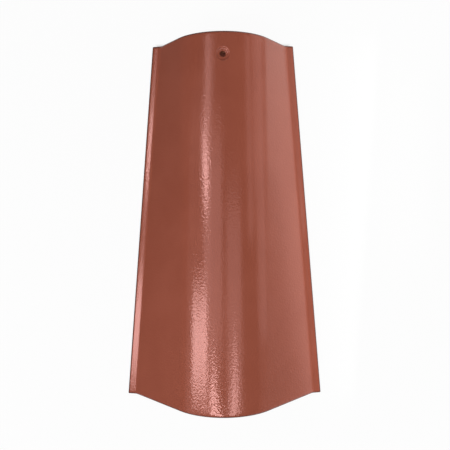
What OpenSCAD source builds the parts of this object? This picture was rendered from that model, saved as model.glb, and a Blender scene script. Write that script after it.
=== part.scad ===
// Tapered ridge tile of pressed and fired clay, in millimetres.
// It lies on its two long feet as it would on a level floor: +Z is up through the
// crown, +Y points to the narrow end, and the origin is at the middle of the footprint.

/* [Overall] */
// Length of the tile along the ridge
tile_l = 400; // [300:5:480]
// Overall width at the wide end, which laps over the next tile
wide_w = 222; // [210:1:260]
// Overall height at the wide end
wide_h = 86; // [82:0.5:96]
// Overall width at the narrow end, which the next tile covers
narrow_w = 162; // [156:1:180]
// Overall height at the narrow end
narrow_h = 69.5; // [66:0.5:74]

/* [Arch] */
// Thickness of the clay wall
wall_t = 12; // [9:0.5:14]
// Outer radius of the round crown at the wide end
wide_crown_r = 67; // [60:1:72]
// Outer radius of the round crown at the narrow end
narrow_crown_r = 60; // [54:1:62]

/* [Flange] */
// Height of the flange at its outer edge
flange_h = 9; // [8:0.5:12]
// Width of the ledge from the outer edge to the foot of the flank
flange_w = 9; // [8:0.5:11]
// Fall of the ledge towards its outer edge, in degrees
flange_fall = 12; // [0:1:18]
// Radius of the hollow between ledge and flank
root_r = 7; // [3:0.5:8]

/* [Edges] */
// Rounding of the glazed edge along the top of the flange
edge_r = 3; // [2:0.5:3.5]
// Rounding of the glazed edges around the two ends
rim_r = 3; // [1:0.5:3]
// Rounding of the four upright corners of the flanges
corner_r = 1; // [0.5:0.5:2]
// Rounding of the unglazed edges underneath
foot_r = 1.5; // [1:0.5:2.5]

/* [Nail hole] */
// Diameter of the nail hole
nail_d = 6.5; // [5:0.5:8]
// Distance of the nail hole from the narrow end
nail_inset = 24.5; // [20:0.5:60]
// Diameter of the round recess at its top
recess_d = 15; // [14:0.5:20]
// Width of the sloping wall around the recess
recess_slope_w = 1.75; // [0.5:0.25:2.5]
// Depth of the recess below the crown
recess_depth = 2; // [1:0.5:4]

/* [Hidden] */
glaze = "#985847";
crown_steps = 14;
flank_steps = 4;
corner_steps = 4;
rim_steps = 6;
length_steps = 16;
// Smallest radius that a rounded corner keeps where it runs out into an end face
least_r = 0.1;
// How far the cutters of the nail hole reach past the clay
overshoot = 10;

nail_y = tile_l / 2 - nail_inset;
// Height at which the flank would meet the ledge if the hollow between them were filled
root_z = flange_h + flange_w * tan(flange_fall);

// Value at a place along the tile of a measure that tapers from the wide to the narrow end
function tapered(wide, narrow, y) = wide + (narrow - wide) * (0.5 + y / tile_l);

function half_w(y) = tapered(wide_w, narrow_w, y) / 2;
function crown_r(y) = tapered(wide_crown_r, narrow_crown_r, y);

// Height of the outer surface along the middle of the crown
function crown_z(y) = tapered(wide_h, narrow_h, y);

// Half of the width between the feet of the two flanks
function root_x(y) = half_w(y) - flange_w;

// Angle to the horizontal of the flank, which runs from its foot to touch the round crown
function flank_angle(y) =
    let (reach = root_x(y), rise = crown_z(y) - crown_r(y) - root_z)
    asin(crown_r(y) / norm([reach, rise])) + atan2(rise, reach);

function polar(a) = [cos(a), sin(a)];

function arc(center, r, from, to, steps) =
    [for (i = [0:steps]) center + r * polar(from + (to - from) * i / steps)];

// Points between the last point of one run and the first point of the next
function between(run, next_run, steps) =
    let (start = run[len(run) - 1], end = next_run[0])
    [for (i = [1:steps - 1]) start + (end - start) * i / steps];

// How far a surface is drawn back into the clay near an end face, for an edge of radius r
function setback(depth, r) = depth < r ? r - sqrt(r * r - (r - depth) * (r - depth)) : 0;

// Right half of the section at a depth from the nearer end face, from the top of the
// crown down over the flank, the ledge and the foot and up again to the vault inside
function half_section(y, depth) =
    let (
        slope = flank_angle(y),
        over = setback(depth, rim_r),
        under = setback(depth, foot_r),
        aside = setback(depth, corner_r),
        edge = max(edge_r, over + least_r),
        foot = max(foot_r, under + least_r),
        mean_a = (slope + flange_fall) / 2,
        half_a = (slope - flange_fall) / 2,
        toe_x = root_x(y) + root_z / tan(slope) - wall_t / sin(slope),
        crown_c = [0, crown_z(y) - crown_r(y)],
        root_c = [root_x(y), root_z] + root_r / cos(half_a) * [sin(mean_a), cos(mean_a)],
        edge_in = aside + edge - over,
        edge_z = flange_h + edge_in * tan(flange_fall) - edge / cos(flange_fall),
        edge_c = [half_w(y) - edge_in, edge_z],
        heel_c = [half_w(y) - aside - foot + under, foot],
        toe_c = [toe_x + foot * tan(slope / 2), foot],
        crown = arc(crown_c, crown_r(y) - over, 90, 90 - slope, crown_steps),
        root = arc(root_c, root_r + over, 270 - slope, 270 - flange_fall, corner_steps),
        toe = arc(toe_c, foot - under, -90, -90 - slope, corner_steps),
        vault = arc(crown_c, crown_r(y) - wall_t + under, 90 - slope, 90, crown_steps)
    )
    concat(
        crown,
        between(crown, root, flank_steps),
        root,
        arc(edge_c, edge - over, 90 - flange_fall, 0, corner_steps),
        arc(heel_c, foot - under, 0, -90, corner_steps),
        toe,
        between(toe, vault, flank_steps),
        vault
    );

// Whole section as a ring of points in space, its left half mirrored from the right
function section(y, depth) =
    let (half = half_section(y, depth), n = len(half))
    concat(
        [for (p = half) [p[0], y, p[1]]],
        [for (i = [n - 2:-1:1]) [-half[i][0], y, half[i][1]]]
    );

// Depths of the sections that round off an end, closer together towards its face
function rim_depths() = [for (i = [0:rim_steps]) rim_r * (1 - sin(90 * i / rim_steps))];

// The arched shell, lofted through its sections from the wide end to the narrow end
module shell() {
    depths = rim_depths();
    body_l = tile_l - 2 * rim_r;
    wide_rings = [for (i = [rim_steps:-1:0]) section(depths[i] - tile_l / 2, depths[i])];
    body_rings = [for (i = [1:length_steps - 1])
        section(body_l * (i / length_steps - 0.5), rim_r)];
    narrow_rings = [for (depth = depths) section(tile_l / 2 - depth, depth)];
    rings = concat(wide_rings, body_rings, narrow_rings);
    n = len(rings[0]);
    sides = [for (k = [0:len(rings) - 2], i = [0:n - 1])
        let (a = k * n + i, b = k * n + (i + 1) % n)
        each [[a, a + n, b + n], [a, b + n, b]]];
    wide_face = [for (i = [0:n - 1]) i];
    narrow_face = [for (i = [n - 1:-1:0]) (len(rings) - 1) * n + i];
    polyhedron(
        points = [for (ring = rings, p = ring) p],
        faces = concat(sides, [wide_face, narrow_face])
    );
}

// Nail hole straight down through the crown, with a shallow recess around its mouth
module nail_hole() {
    top = crown_z(nail_y);
    floor_d = recess_d - 2 * recess_slope_w;
    flare = 2 * recess_slope_w / recess_depth;
    translate([0, nail_y, top - wall_t - overshoot])
        cylinder(h = wall_t + 2 * overshoot, d = nail_d, $fn = 48);
    translate([0, nail_y, top - recess_depth])
        cylinder(h = overshoot, d1 = floor_d, d2 = floor_d + flare * overshoot, $fn = 64);
}

module ridge_tile() {
    color(glaze)
        difference() {
            shell();
            nail_hole();
        }
}

ridge_tile();
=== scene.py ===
import math

import bmesh
import bpy
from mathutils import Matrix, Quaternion, Vector


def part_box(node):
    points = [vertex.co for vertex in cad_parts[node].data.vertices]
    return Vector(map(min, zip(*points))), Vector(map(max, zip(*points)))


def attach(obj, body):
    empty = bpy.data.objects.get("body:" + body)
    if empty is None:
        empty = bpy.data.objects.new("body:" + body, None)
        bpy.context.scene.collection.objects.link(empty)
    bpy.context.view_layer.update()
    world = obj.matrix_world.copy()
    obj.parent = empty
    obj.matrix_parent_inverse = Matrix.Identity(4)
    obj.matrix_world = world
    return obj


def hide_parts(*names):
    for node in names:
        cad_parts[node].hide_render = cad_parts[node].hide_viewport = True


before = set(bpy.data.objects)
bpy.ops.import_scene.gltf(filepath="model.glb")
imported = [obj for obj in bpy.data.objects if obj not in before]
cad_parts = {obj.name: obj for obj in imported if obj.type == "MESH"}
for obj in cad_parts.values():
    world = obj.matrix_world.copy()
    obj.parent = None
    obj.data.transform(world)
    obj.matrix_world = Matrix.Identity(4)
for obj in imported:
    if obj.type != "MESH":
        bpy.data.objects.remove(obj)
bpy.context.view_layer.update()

# Sizes of the tile, in metres; it lies along Y with its narrow end at +Y
LOW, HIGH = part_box("ridge_tile")
LENGTH = HIGH.y - LOW.y
WIDE_W = 0.222
NARROW_W = 0.162
WIDE_H = 0.086
NARROW_H = 0.0695
WIDE_CROWN_R = 0.067
NARROW_CROWN_R = 0.060
WALL = 0.012
FLANGE_H = 0.009
FLANGE_W = 0.009
LEDGE_FALL = math.radians(12)
ROOT_R = 0.007
EDGE_R = 0.003
RIM_R = 0.003
CORNER_R = 0.001
FOOT_R = 0.0015
LEAST_R = 0.0001

# Nail hole and its recess; its sloping wall meets the round crown in a slightly oval lip
NAIL_Y = LENGTH / 2 - 0.0245
NAIL_R = 0.00325
RECESS_R = 0.0075
RECESS_FLOOR_R = 0.00575
RECESS_DEPTH = 0.002
LIP_SQUASH = (0.952, 1.001, 1)
LIP_SHIFT = -0.00027
LIP_ROUND = 0.0006
LIP_ROUND_STEPS = 4
FLOOR_ROUND = 0.0009
FLOOR_ROUND_STEPS = 5
MOUTH_ROUND = 0.0004
MOUTH_ROUND_STEPS = 3

# How finely the skin is divided
QUARTER = math.pi / 2
CROWN_STEPS = 28
FLANK_STEPS = 14
ROOT_STEPS = 6
LEDGE_STEPS = 2
EDGE_STEPS = 5
CORNER_STEPS = 3
FOOT_STEPS = 3
VAULT_FLANK_STEPS = 8
RIM_STEPS = 6
BODY_SPANS = 14
BODY_CUTS = 9
NEAR = 1e-5
SMOOTH_BELOW = math.radians(35)

# Seat of the nail hole: a window in the skin, with a round sleeve joined to its edges
SEAT_CELLS = 16
SEAT_CELL = 0.002
SEAT_END_CUTS = 1
SEAT_STEPS = 64
SEAT_JOIN_CUTS = 2
SEAT_CROWN_R = 0.012
SEAT_VAULT_R = 0.008
LIP_GUARD_R = 0.0088
MOUTH_GUARD_R = 0.0045
OVER_CROWN = 0.001
UNDER_VAULT = 0.002

# Colours and textures of the tile
GLAZE_DEEP = (0.236, 0.0605, 0.0355, 1)
GLAZE_WARM = (0.254, 0.0675, 0.0405, 1)
# Painted shade: the dark colour of a line along the arrises
PAINTED_EDGE_SHADE = (0.06, 0.014, 0.009, 1)
GLAZE_TINT = (1.0, 0.56, 0.53, 1)
GLAZE_IOR = 1.62
GLAZE_ROUGH = 0.12
CLOUD_ROUGH = 0.06
CLOUD_SCALE = 18.0
CLOUD_BAND = (0.3, 0.7)
PEEL_SCALE = 480.0
PEEL_DEPTH = 0.00016
# Width, roughness and share at the ends of the painted edge shade
EDGE_SHADE_W = 0.0018
EDGE_SHADE_ROUGH = 0.6
EDGE_SHADE_END_SHARE = 0.7
CLAY_DARK = (0.30, 0.115, 0.065, 1)
CLAY_PALE = (0.42, 0.18, 0.105, 1)
CLAY_ROUGH = 0.75
GRAIN_SCALE = 520.0
GRAIN_BAND = (0.35, 0.65)
RAGGED_SCALE = 90.0
RAGGED_SHARE = 0.5
RAGGED_BAND = (-0.1, 0.1)

# Places of the colour sockets on a Mix node
MIX_FIRST = 6
MIX_SECOND = 7
MIX_RESULT = 2

# Floor and backdrop; a band is where the painted shade of the floor under the tile gives way to white
FLOOR_SIZE = 8.0
FLOOR_PAINT = (0.52, 0.52, 0.52, 1)
# Painted shade: the dark brown paint of the floor under the tile
FLOOR_SHADE = (0.3, 0.1, 0.07, 1)
FLOOR_ROUGH = 0.9
FLOOR_GLOSS = 0.1
FLOOR_GLOW = 0.95
SHADE_BAND_X = (0.07, 0.08)
SHADE_BAND_Y = (0.198, 0.206)
BACKDROP_R = 3.9
BACKDROP_H = 1.2
BACKDROP_SIDES = 96
WORLD_WHITE = (1.0, 1.0, 1.0, 1)
WORLD_GREY = (0.04, 0.04, 0.04, 1)

# Cards that only the glaze mirrors: name, middle, size, tilt, turn in degrees, paint
CARD_BLACK = (0.09, 0.085, 0.085, 1)
CARD_GREY = (0.35, 0.34, 0.34, 1)
CARDS = [
    ("left_card", (-0.1785, 0.0, 0.0645), (0.194, 0.9), 40.8, -4.3, CARD_BLACK),
    ("right_card", (0.39, 0.0, 0.028), (0.305, 1.1), -10.4, 0.0, CARD_GREY),
    ("right_end_card", (0.34, -0.36, 0.09), (0.18, 0.36), 90.0, 0.0, CARD_GREY),
]

# Soft lamps: name, middle, point faced, size, brightness of the face, roll in degrees, mirrored
LAMPS = [
    ("left_far_panel", (-0.6, 0.192, 0.845), (0, 0.05, 0.07), (0.16, 0.24), 9.5, -22.0, True),
    ("left_near_panel", (-0.612, -0.266, 0.607), (0, -0.12, 0.07), (0.232, 0.45), 7.8, -7.0, True),
    ("left_strip", (-0.64, 0.08, 1.0), (0, 0.05, 0.07), (1.3, 0.22), 1.5, 0.0, True),
    ("left_end_panel", (-0.5, 0.5, 1.0), (0, 0.12, 0.07), (0.3, 0.3), 1.2, 0.0, True),
    ("left_skirt", (-0.75, -0.22, 0.72), (0, -0.12, 0.07), (1.3, 0.95), 0.38, 0.0, True),
    ("left_ceiling", (-0.46, -0.01, 1.6), (-0.46, -0.01, 0), (0.77, 0.85), 1.6, 0.0, True),
    ("right_top_board", (0.217, 0.15, 0.1987), (0.085, 0.15, 0.01), (0.34, 0.055), 0.8, 0.0, True),
    ("right_far_board", (0.32, 0.2, 0.177), (0, 0.2, 0.177), (0.32, 0.055), 0.75, 0.0, True),
    ("right_near_board", (0.32, -0.065, 0.162), (0, -0.065, 0.162), (0.21, 0.025), 0.75, 0.0, True),
    ("right_far_fill", (0.45, 0.5, 0.1), (0, 0.05, 0.03), (0.5, 0.2), 6.2, 0.0, False),
    ("right_end_fill", (0.45, -0.5, 0.1), (0, -0.05, 0.03), (0.5, 0.2), 4.6, 0.0, False),
    ("right_foot_strip", (0.17, 0.0, 0.025), (0, 0.0128, 0.025), (0.42, 0.03), 3.2, 0.0, False),
    ("right_side_fill", (0.6, 0.08, 0.27), (0, 0.08, 0.05), (0.5, 0.3), 0.8, 0.0, False),
    ("right_middle_fill", (0.25, 0.075, 0.06), (0, 0.075, 0.06), (0.22, 0.05), 2.2, 0.0, False),
    ("over_left", (-0.365, -0.75, 1.5), (0, -0.15, 0.07), (0.7, 0.26), 13.0, 0.0, True),
    ("over_right", (0.44, -0.67, 1.5), (0, -0.15, 0.07), (0.5, 0.3), 6.3, 0.0, True),
    ("over_middle", (0.59, -0.3, 1.6), (0.59, -0.3, 0), (0.92, 0.95), 1.38, 0.0, True),
]

# Place and lens of the camera, as the photo's outline gives them
CAMERA_AT = (0.0016, 0.0197, 0.659)
CAMERA_TURN = math.radians(-0.277)
FOCAL_PX = 564.3
FRAME_PX = 450
CENTRE_DOWN_PX = 22.4
SENSOR_MM = 36.0


def tapered(wide, narrow, y):
    """A measure of the tile at a place along it."""
    return wide + (narrow - wide) * (0.5 + y / LENGTH)


def crown_height(y):
    """Height of the top of the crown."""
    return tapered(WIDE_H, NARROW_H, y)


def crown_radius(y):
    """Outer radius of the round crown."""
    return tapered(WIDE_CROWN_R, NARROW_CROWN_R, y)


def flank_angle(y):
    """Slope of the flank that runs from its foot to touch the round crown."""
    reach = tapered(WIDE_W, NARROW_W, y) / 2 - FLANGE_W
    rise = crown_height(y) - crown_radius(y) - FLANGE_H - FLANGE_W * math.tan(LEDGE_FALL)
    return math.asin(crown_radius(y) / math.hypot(reach, rise)) + math.atan2(rise, reach)


def setback(depth, radius):
    """How far a rounded surface is drawn back into the clay near an end face."""
    if depth >= radius:
        return 0.0
    return radius - math.sqrt(radius ** 2 - (radius - depth) ** 2)


def polar(center, radius, angle):
    """A point around a centre, in the plane of a section."""
    return center + radius * Vector((math.cos(angle), 0, math.sin(angle)))


def edit_mesh(piece):
    """The mesh that is open in edit mode."""
    return bmesh.from_edit_mesh(piece.data)


def deselect_all():
    """Leaves edit mode with no object selected."""
    if bpy.context.object and bpy.context.object.mode == "EDIT":
        bpy.ops.object.mode_set(mode="OBJECT")
    bpy.ops.object.select_all(action="DESELECT")


def only(piece):
    """Makes one object the selected and active one, out of edit mode."""
    deselect_all()
    piece.select_set(True)
    bpy.context.view_layer.objects.active = piece


def start_piece(name):
    """An empty mesh at the origin, left open in edit mode."""
    deselect_all()
    bpy.ops.mesh.primitive_plane_add(size=LEAST_R, location=(0, 0, 0))
    piece = bpy.context.object
    piece.name = name
    piece.data.name = name
    bpy.ops.object.mode_set(mode="EDIT")
    bpy.ops.mesh.select_mode(type="VERT")
    bpy.ops.mesh.delete(type="VERT")
    return piece


def dot(at):
    """One loose vertex, from which a line is drawn."""
    bpy.ops.mesh.select_all(action="DESELECT")
    bpy.ops.mesh.primitive_plane_add(size=LEAST_R, location=at)
    bpy.ops.mesh.merge(type="CENTER")


def run(by, steps=1):
    """Draws a straight line on from the last vertex, in equal steps."""
    step = tuple(c / steps for c in by)
    for _ in range(steps):
        bpy.ops.mesh.extrude_vertices_move(TRANSFORM_OT_translate={"value": step})


def run_to(piece, end, steps=1):
    """Draws a straight line on from the last vertex to a point."""
    last = next(v.co.copy() for v in edit_mesh(piece).verts if v.select)
    run(end - last, steps)


def bend(center, angle, steps):
    """Draws an arc on from the last vertex, clockwise as seen along the ridge."""
    bpy.ops.mesh.spin(steps=steps, angle=-angle, center=center, axis=(0, 1, 0))


def draw_section(piece, y, depth):
    """Right half of a section, drawn from the top of the crown round the foot to the vault."""
    over = setback(depth, RIM_R)
    under = setback(depth, FOOT_R)
    aside = setback(depth, CORNER_R)
    edge = max(EDGE_R, over + LEAST_R)
    foot = max(FOOT_R, under + LEAST_R)

    slope = flank_angle(y)
    crown_r = crown_radius(y)
    half_w = tapered(WIDE_W, NARROW_W, y) / 2
    root_x = half_w - FLANGE_W
    root_z = FLANGE_H + FLANGE_W * math.tan(LEDGE_FALL)
    root_turn = slope - LEDGE_FALL
    to_root = ROOT_R / math.cos(root_turn / 2)
    mean = (slope + LEDGE_FALL) / 2
    edge_in = aside + edge - over
    edge_z = FLANGE_H + edge_in * math.tan(LEDGE_FALL) - edge / math.cos(LEDGE_FALL)
    toe_x = root_x + root_z / math.tan(slope) - WALL / math.sin(slope)

    crown_c = Vector((0, y, crown_height(y) - crown_r))
    root_c = Vector((root_x + to_root * math.sin(mean), y, root_z + to_root * math.cos(mean)))
    edge_c = Vector((half_w - edge_in, y, edge_z))
    heel_c = Vector((half_w - aside - foot + under, y, foot))
    toe_c = Vector((toe_x + foot * math.tan(slope / 2), y, foot))

    dot(polar(crown_c, crown_r - over, QUARTER))
    bend(crown_c, slope, CROWN_STEPS)
    run_to(piece, polar(root_c, ROOT_R + over, -QUARTER - slope), FLANK_STEPS)
    bend(root_c, -root_turn, ROOT_STEPS)
    run_to(piece, polar(edge_c, edge - over, QUARTER - LEDGE_FALL), LEDGE_STEPS)
    bend(edge_c, QUARTER - LEDGE_FALL, EDGE_STEPS)
    run_to(piece, polar(heel_c, foot - under, 0))
    bend(heel_c, QUARTER, CORNER_STEPS)
    run_to(piece, polar(toe_c, foot - under, -QUARTER), FOOT_STEPS)
    bend(toe_c, slope, CORNER_STEPS)
    run_to(piece, polar(crown_c, crown_r - WALL + under, QUARTER - slope), VAULT_FLANK_STEPS)
    bend(crown_c, -slope, CROWN_STEPS)


def pick(piece, kind, wanted):
    """Selects the edges, or the faces, that pass a test, and nothing else."""
    bpy.ops.mesh.select_mode(type=kind)
    bpy.ops.mesh.select_all(action="DESELECT")
    mesh = edit_mesh(piece)
    for part in mesh.edges if kind == "EDGE" else mesh.faces:
        if wanted(part):
            part.select_set(True)
    bmesh.update_edit_mesh(piece.data)


def bridge(cuts):
    """Joins the selected loops by straight rows of faces."""
    bpy.ops.mesh.bridge_edge_loops(number_cuts=cuts, interpolation="LINEAR", smoothness=0)


def face_outwards():
    """Turns all the faces of the open mesh to point out of the clay."""
    bpy.ops.mesh.select_all(action="SELECT")
    bpy.ops.mesh.normals_make_consistent(inside=False)


def lies_at(edge, y):
    """Whether an edge lies in the plane of the section at y."""
    return all(abs(v.co.y - y) < NEAR for v in edge.verts)


def stations():
    """Places of the sections: y, depth from the nearer end, rows to put before the next."""
    end = LENGTH / 2
    depths = [RIM_R * (1 - math.sin(QUARTER * i / RIM_STEPS)) for i in range(RIM_STEPS + 1)]
    seat = SEAT_CELLS * SEAT_CELL / 2
    start = RIM_R - end
    stop = NAIL_Y - seat
    wide_rim = [(depth - end, depth, 0) for depth in reversed(depths[1:])]
    body = [(start + (stop - start) * i / BODY_SPANS, RIM_R, BODY_CUTS) for i in range(BODY_SPANS)]
    nail_seat = [(stop, RIM_R, SEAT_CELLS - 1), (NAIL_Y + seat, RIM_R, SEAT_END_CUTS)]
    narrow_rim = [(end - depth, depth, 0) for depth in depths]
    return wide_rim + body + nail_seat + narrow_rim


def loft_skin():
    """The tile's skin, bridged section by section and mirrored, with its two end faces."""
    piece = start_piece("glazed_ridge_tile")
    rows = stations()
    for y, depth, _ in rows:
        draw_section(piece, y, depth)
    for (y, _, cuts), (next_y, _, _) in zip(rows, rows[1:]):
        pick(piece, "EDGE", lambda e: lies_at(e, y) or lies_at(e, next_y))
        bridge(cuts)
    bpy.ops.object.mode_set(mode="OBJECT")
    mirror = piece.modifiers.new("left_half", "MIRROR")
    mirror.use_axis[0] = True
    mirror.merge_threshold = NEAR
    bpy.ops.object.modifier_apply(modifier=mirror.name)
    bpy.ops.object.mode_set(mode="EDIT")
    for y in (-LENGTH / 2, LENGTH / 2):
        pick(piece, "EDGE", lambda e: lies_at(e, y) and e.is_boundary)
        bpy.ops.mesh.edge_face_add()
        bpy.ops.mesh.inset(thickness=LEAST_R / 2)
    face_outwards()
    bpy.ops.object.mode_set(mode="OBJECT")
    return piece


def in_seat_window(face):
    """Whether a face of the crown or the vault is in the square that the nail hole takes."""
    c = face.calc_center_median()
    if abs(c.y - NAIL_Y) > SEAT_CELLS * SEAT_CELL / 2 or c.z < crown_height(c.y) / 2:
        return False
    turn = math.atan2(abs(c.x), c.z - crown_height(c.y) + crown_radius(c.y))
    return turn < flank_angle(c.y) * SEAT_CELLS / 2 / CROWN_STEPS


def lay_on(piece, form, group):
    """Moves a group of vertices straight up or down onto the skin of another piece."""
    only(piece)
    wrap = piece.modifiers.new("lay", "SHRINKWRAP")
    wrap.target = form
    wrap.vertex_group = group
    wrap.wrap_method = "PROJECT"
    wrap.use_project_z = True
    wrap.use_negative_direction = True
    wrap.use_positive_direction = True
    bpy.ops.object.modifier_apply(modifier=wrap.name)


def name_group(piece, name, wanted):
    """A vertex group of the vertices that pass a test."""
    found = [v.index for v in piece.data.vertices if wanted(v)]
    piece.vertex_groups.new(name=name).add(found, 1.0, "REPLACE")


def from_axis(co, squash=(1, 1, 1), shift=0.0):
    """Distance from the nail hole's axis, or from that of an oval ring around it."""
    return math.hypot(co.x / squash[0], (co.y - NAIL_Y - shift) / squash[1])


def round_ring(piece, holds, radius, steps):
    """Bevels the ring of edges whose two ends pass a test."""
    pick(piece, "EDGE", lambda e: all(holds(v.co) for v in e.verts))
    bpy.ops.mesh.bevel(offset=radius, segments=steps, affect="EDGES")


def on_lip(co):
    """Whether a point is on the oval lip of the recess."""
    return abs(from_axis(co, LIP_SQUASH, LIP_SHIFT) - RECESS_R) < NEAR


def on_bore(co):
    """Whether a point is on the wall of the nail hole."""
    return from_axis(co) < NAIL_R + NEAR


def nail_sleeve(form):
    """The recess, the hole and its mouth in the vault, spun about the hole's axis."""
    piece = start_piece("nail_sleeve")
    top = crown_height(NAIL_Y)
    vault = top - WALL
    above = top + OVER_CROWN
    below = vault - UNDER_VAULT
    floor_z = top - RECESS_DEPTH
    # Radius and height of each ring, and steps to the next
    profile = [
        (SEAT_CROWN_R, above, 3),
        (LIP_GUARD_R, above, 1),
        (RECESS_R, above, 1),
        (RECESS_FLOOR_R, floor_z, 1),
        (NAIL_R, floor_z, 4),
        (NAIL_R, below, 1),
        (MOUTH_GUARD_R, below, 2),
        (SEAT_VAULT_R, below, 0),
    ]
    dot((SEAT_CROWN_R, NAIL_Y, above))
    for (r, z, steps), (next_r, next_z, _) in zip(profile, profile[1:]):
        run((next_r - r, 0, next_z - z), steps)
    bpy.ops.mesh.select_all(action="SELECT")
    bpy.ops.mesh.spin(steps=SEAT_STEPS, angle=math.tau, center=(0, NAIL_Y, 0), axis=(0, 0, 1))
    pick(piece, "EDGE", lambda e: all(abs(from_axis(v.co) - RECESS_R) < NEAR for v in e.verts))
    bpy.ops.transform.resize(value=LIP_SQUASH, center_override=(0, NAIL_Y, above))
    bpy.ops.transform.translate(value=(0, LIP_SHIFT, 0))
    bpy.ops.object.mode_set(mode="OBJECT")
    name_group(piece, "on_crown", lambda v: v.co.z > top)
    name_group(piece, "on_vault", lambda v: v.co.z < vault)
    lay_on(piece, form, "on_crown")
    lay_on(piece, form, "on_vault")
    bpy.ops.object.mode_set(mode="EDIT")
    round_ring(piece, on_lip, LIP_ROUND, LIP_ROUND_STEPS)
    round_ring(piece, lambda co: abs(from_axis(co) - RECESS_FLOOR_R) < NEAR, FLOOR_ROUND, FLOOR_ROUND_STEPS)
    round_ring(piece, lambda co: on_bore(co) and co.z > floor_z - NEAR, MOUTH_ROUND, MOUTH_ROUND_STEPS)
    round_ring(piece, lambda co: on_bore(co) and co.z < vault + MOUTH_ROUND, MOUTH_ROUND, MOUTH_ROUND_STEPS)
    bpy.ops.object.mode_set(mode="OBJECT")
    piece.vertex_groups.clear()
    return piece


def fit_nail_hole(piece):
    """Cuts a window in crown and vault and joins the spun hole to its edges."""
    only(piece)
    bpy.ops.object.duplicate()
    form = bpy.context.object
    sleeve = nail_sleeve(form)
    only(piece)
    bpy.ops.object.mode_set(mode="EDIT")
    pick(piece, "FACE", in_seat_window)
    bpy.ops.mesh.delete(type="FACE")
    bpy.ops.object.mode_set(mode="OBJECT")
    sleeve.select_set(True)
    bpy.ops.object.join()
    bpy.ops.object.mode_set(mode="EDIT")
    middle = crown_height(NAIL_Y) - WALL / 2
    joined = set()
    for side in (1, -1):
        pick(piece, "EDGE", lambda e: e.is_boundary and side * (e.verts[0].co.z - middle) > 0)
        bridge(SEAT_JOIN_CUTS)
        joined.update(v.index for v in edit_mesh(piece).verts if v.select)
    face_outwards()
    bpy.ops.object.mode_set(mode="OBJECT")
    name_group(piece, "joined", lambda v: v.index in joined)
    lay_on(piece, form, "joined")
    piece.vertex_groups.clear()
    bpy.data.objects.remove(form)


def feed(tree, socket, value):
    """Gives a socket a plain number or colour, or links another node's output to it."""
    if isinstance(value, bpy.types.NodeSocket):
        tree.links.new(value, socket)
    else:
        socket.default_value = value


def math_node(tree, operation, *values):
    """A math node fed from sockets or plain numbers; gives its output socket."""
    node = tree.nodes.new("ShaderNodeMath")
    node.operation = operation
    for socket, value in zip(node.inputs, values):
        feed(tree, socket, value)
    return node.outputs[0]


def ramp_between(tree, value, band):
    """A soft step from 0 at the low end of a band to 1 at its high end."""
    node = tree.nodes.new("ShaderNodeMapRange")
    node.interpolation_type = "SMOOTHSTEP"
    feed(tree, node.inputs["Value"], value)
    feed(tree, node.inputs["From Min"], band[0])
    feed(tree, node.inputs["From Max"], band[1])
    return node.outputs["Result"]


def noise(tree, coords, scale, detail):
    """Cloudy noise over the piece, about 0.5 on average."""
    node = tree.nodes.new("ShaderNodeTexNoise")
    feed(tree, node.inputs["Vector"], coords)
    feed(tree, node.inputs["Scale"], scale)
    feed(tree, node.inputs["Detail"], detail)
    return node.outputs["Fac"]


def mix_colour(tree, share, first, second):
    """Blends two colours; a share of 1 gives the second."""
    node = tree.nodes.new("ShaderNodeMix")
    node.data_type = "RGBA"
    feed(tree, node.inputs[0], share)
    feed(tree, node.inputs[MIX_FIRST], first)
    feed(tree, node.inputs[MIX_SECOND], second)
    return node.outputs[MIX_RESULT]


def mix_shader(tree, share, first, second):
    """Blends two shaders; a share of 1 gives the second."""
    node = tree.nodes.new("ShaderNodeMixShader")
    for socket, value in zip(node.inputs, (share, first, second)):
        feed(tree, socket, value)
    return node.outputs[0]


def split_xyz(tree, vector):
    """The three coordinates of a vector."""
    node = tree.nodes.new("ShaderNodeSeparateXYZ")
    feed(tree, node.inputs[0], vector)
    return node.outputs


def new_material(name):
    """A material with its node tree and its main shader."""
    material = bpy.data.materials.new(name)
    material.use_nodes = True
    return material, material.node_tree, material.node_tree.nodes["Principled BSDF"]


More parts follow.
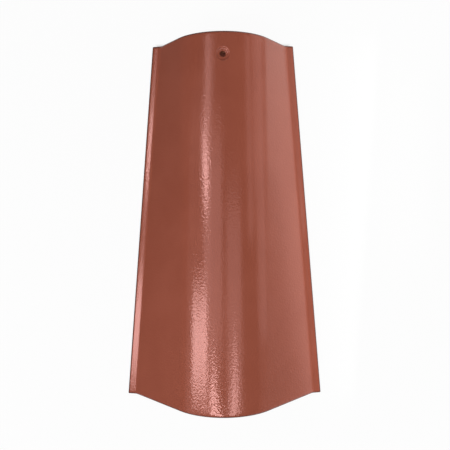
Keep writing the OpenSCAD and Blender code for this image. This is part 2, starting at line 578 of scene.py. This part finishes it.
def glazed_clay():
    """Red-brown gloss glaze on top, bare fired clay elsewhere, and a painted shade as a dark line along the
    arrises.
    """
    material, tree, shader = new_material("glazed_clay")
    place = tree.nodes.new("ShaderNodeTexCoord").outputs["Object"]
    x, y, _ = split_xyz(tree, place)
    _, _, up = split_xyz(tree, tree.nodes.new("ShaderNodeNewGeometry").outputs["Normal"])

    cloud = noise(tree, place, CLOUD_SCALE, detail=3.0)
    grain = noise(tree, place, GRAIN_SCALE, detail=2.0)
    glaze = mix_colour(tree, ramp_between(tree, cloud, CLOUD_BAND), GLAZE_DEEP, GLAZE_WARM)
    bare = mix_colour(tree, ramp_between(tree, grain, GRAIN_BAND), CLAY_DARK, CLAY_PALE)

    # Where the skin faces down, with a ragged border to the glaze
    down = math_node(tree, "MULTIPLY", up, -1.0)
    ragged = noise(tree, place, RAGGED_SCALE, detail=3.0)
    ragged = math_node(tree, "MULTIPLY_ADD", ragged, RAGGED_SHARE, -RAGGED_SHARE / 2)
    under = ramp_between(tree, math_node(tree, "ADD", down, ragged), RAGGED_BAND)

    # Painted shade: a dark line along the outer edges of the flanges and the ends, in place of the dark
    # that the rounded arrises mirror
    taper = (WIDE_W - NARROW_W) / 2 / LENGTH
    from_middle = math_node(tree, "MULTIPLY_ADD", y, taper, math_node(tree, "ABSOLUTE", x))
    outer = math_node(tree, "SUBTRACT", from_middle, (WIDE_W + NARROW_W) / 4)
    end = math_node(tree, "SUBTRACT", math_node(tree, "ABSOLUTE", y), LENGTH / 2)
    arris = math_node(tree, "MAXIMUM", outer, math_node(tree, "MULTIPLY", end, EDGE_SHADE_END_SHARE))
    edge_shade = ramp_between(tree, arris, (-EDGE_SHADE_W, -EDGE_SHADE_W / 3))

    # Paints the dark edge shade over the glaze
    colour = mix_colour(tree, edge_shade, glaze, PAINTED_EDGE_SHADE)
    colour = mix_colour(tree, under, colour, bare)
    tree.links.new(colour, shader.inputs["Base Color"])
    rough = math_node(tree, "MULTIPLY_ADD", cloud, CLOUD_ROUGH, GLAZE_ROUGH)
    rough = math_node(tree, "MAXIMUM", rough, math_node(tree, "MULTIPLY", edge_shade, EDGE_SHADE_ROUGH))
    rough = math_node(tree, "MAXIMUM", rough, math_node(tree, "MULTIPLY", under, CLAY_ROUGH))
    tree.links.new(rough, shader.inputs["Roughness"])
    shader.inputs["IOR"].default_value = GLAZE_IOR
    shader.inputs["Specular Tint"].default_value = GLAZE_TINT

    bump = tree.nodes.new("ShaderNodeBump")
    bump.inputs["Strength"].default_value = 1.0
    bump.inputs["Distance"].default_value = 1.0
    peel = math_node(tree, "MULTIPLY", noise(tree, place, PEEL_SCALE, detail=1.0), PEEL_DEPTH)
    tree.links.new(peel, bump.inputs["Height"])
    tree.links.new(bump.outputs[0], shader.inputs["Normal"])
    return material


def pale_floor():
    """White to look at and in the gloss, painted a dark shade under the tile, and open to a camera below
    it.
    """
    material, tree, shader = new_material("pale_floor")
    shader.inputs["Roughness"].default_value = FLOOR_ROUGH
    shader.inputs["Specular IOR Level"].default_value = FLOOR_GLOSS
    x, y, _ = split_xyz(tree, tree.nodes.new("ShaderNodeTexCoord").outputs["Object"])
    beside = ramp_between(tree, math_node(tree, "ABSOLUTE", x), SHADE_BAND_X)
    beyond = ramp_between(tree, math_node(tree, "ABSOLUTE", y), SHADE_BAND_Y)
    clear = math_node(tree, "MAXIMUM", beside, beyond)
    # Painted shade: the floor under the tile takes the dark brown FLOOR_SHADE
    tree.links.new(mix_colour(tree, clear, FLOOR_SHADE, FLOOR_PAINT), shader.inputs["Base Color"])

    path = tree.nodes.new("ShaderNodeLightPath").outputs
    seen = math_node(tree, "MAXIMUM", path["Is Camera Ray"], path["Is Glossy Ray"])
    seen = math_node(tree, "MAXIMUM", seen, path["Is Transmission Ray"])
    glow = math_node(tree, "MULTIPLY", seen, math_node(tree, "MULTIPLY", clear, FLOOR_GLOW))
    white = tree.nodes.new("ShaderNodeEmission").outputs[0]
    surface = mix_shader(tree, glow, shader.outputs[0], white)
    backfacing = tree.nodes.new("ShaderNodeNewGeometry").outputs["Backfacing"]
    below = math_node(tree, "MULTIPLY", backfacing, path["Is Camera Ray"])
    nothing = tree.nodes.new("ShaderNodeBsdfTransparent").outputs[0]
    surface = mix_shader(tree, below, surface, nothing)
    tree.links.new(surface, tree.nodes["Material Output"].inputs["Surface"])
    return material


def lay_floor():
    """The floor, and a low round backdrop far behind it that faces inwards."""
    material = pale_floor()
    deselect_all()
    bpy.ops.mesh.primitive_plane_add(size=FLOOR_SIZE, location=(0, 0, 0))
    floor = bpy.context.object
    floor.name = "floor"
    floor.data.materials.append(material)
    bpy.ops.mesh.primitive_cylinder_add(
        vertices=BACKDROP_SIDES,
        radius=BACKDROP_R,
        depth=BACKDROP_H,
        end_fill_type="NOTHING",
        location=(0, 0, BACKDROP_H / 2),
    )
    backdrop = bpy.context.object
    backdrop.name = "backdrop"
    bpy.ops.object.mode_set(mode="EDIT")
    bpy.ops.mesh.select_all(action="SELECT")
    bpy.ops.mesh.flip_normals()
    bpy.ops.object.mode_set(mode="OBJECT")
    backdrop.data.materials.append(material)


def dark_card(name, middle, size, tilt, turn, paint):
    """A dark card for the glaze to mirror in place of the white floor; it shades nothing."""
    deselect_all()
    angles = (0, math.radians(tilt), math.radians(turn))
    bpy.ops.mesh.primitive_plane_add(size=1, location=middle, rotation=angles)
    card = bpy.context.object
    card.name = name
    card.dimensions = (*size, 0)
    card.visible_camera = False
    card.visible_diffuse = False
    card.visible_shadow = False
    material, _, shader = new_material(name)
    shader.inputs["Base Color"].default_value = paint
    shader.inputs["Roughness"].default_value = 1.0
    shader.inputs["Specular IOR Level"].default_value = 0.0
    card.data.materials.append(material)


def dim_world():
    """A dim grey room for the light and the gloss, white where the camera looks past the floor."""
    world = bpy.data.worlds.new("world")
    bpy.context.scene.world = world
    world.use_nodes = True
    tree = world.node_tree
    in_view = tree.nodes.new("ShaderNodeLightPath").outputs["Is Camera Ray"]
    colour = mix_colour(tree, in_view, WORLD_GREY, WORLD_WHITE)
    tree.links.new(colour, tree.nodes["Background"].inputs["Color"])


def add_lamp(name, middle, target, size, radiance, roll, mirrored):
    """A soft rectangular lamp that faces a target, of an even brightness over its face."""
    data = bpy.data.lights.new(name, "AREA")
    data.shape = "RECTANGLE"
    width, height = size
    data.size = width
    data.size_y = height
    data.energy = radiance * math.pi * width * height
    lamp = bpy.data.objects.new(name, data)
    bpy.context.scene.collection.objects.link(lamp)
    facing = (Vector(target) - Vector(middle)).to_track_quat("-Z", "Y")
    lamp.location = middle
    lamp.rotation_euler = (facing @ Quaternion((0, 0, 1), math.radians(roll))).to_euler()
    lamp.visible_camera = False
    lamp.visible_glossy = mirrored


def add_camera():
    """The camera straight above the tile, where the photo was taken from."""
    data = bpy.data.cameras.new("camera")
    camera = bpy.data.objects.new("camera", data)
    bpy.context.scene.collection.objects.link(camera)
    camera.location = CAMERA_AT
    camera.rotation_euler = (0, 0, CAMERA_TURN)
    data.sensor_width = SENSOR_MM
    data.lens = FOCAL_PX / FRAME_PX * SENSOR_MM
    data.shift_y = -CENTRE_DOWN_PX / FRAME_PX
    bpy.context.scene.camera = camera


tile = loft_skin()
fit_nail_hole(tile)
tile.data.materials.append(glazed_clay())
only(tile)
bpy.ops.object.shade_smooth_by_angle(angle=SMOOTH_BELOW)
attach(tile, "root")
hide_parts("ridge_tile")

add_camera()
lay_floor()
for card in CARDS:
    dark_card(*card)
dim_world()
for lamp in LAMPS:
    add_lamp(*lamp)
bpy.context.scene.view_settings.view_transform = "Standard"
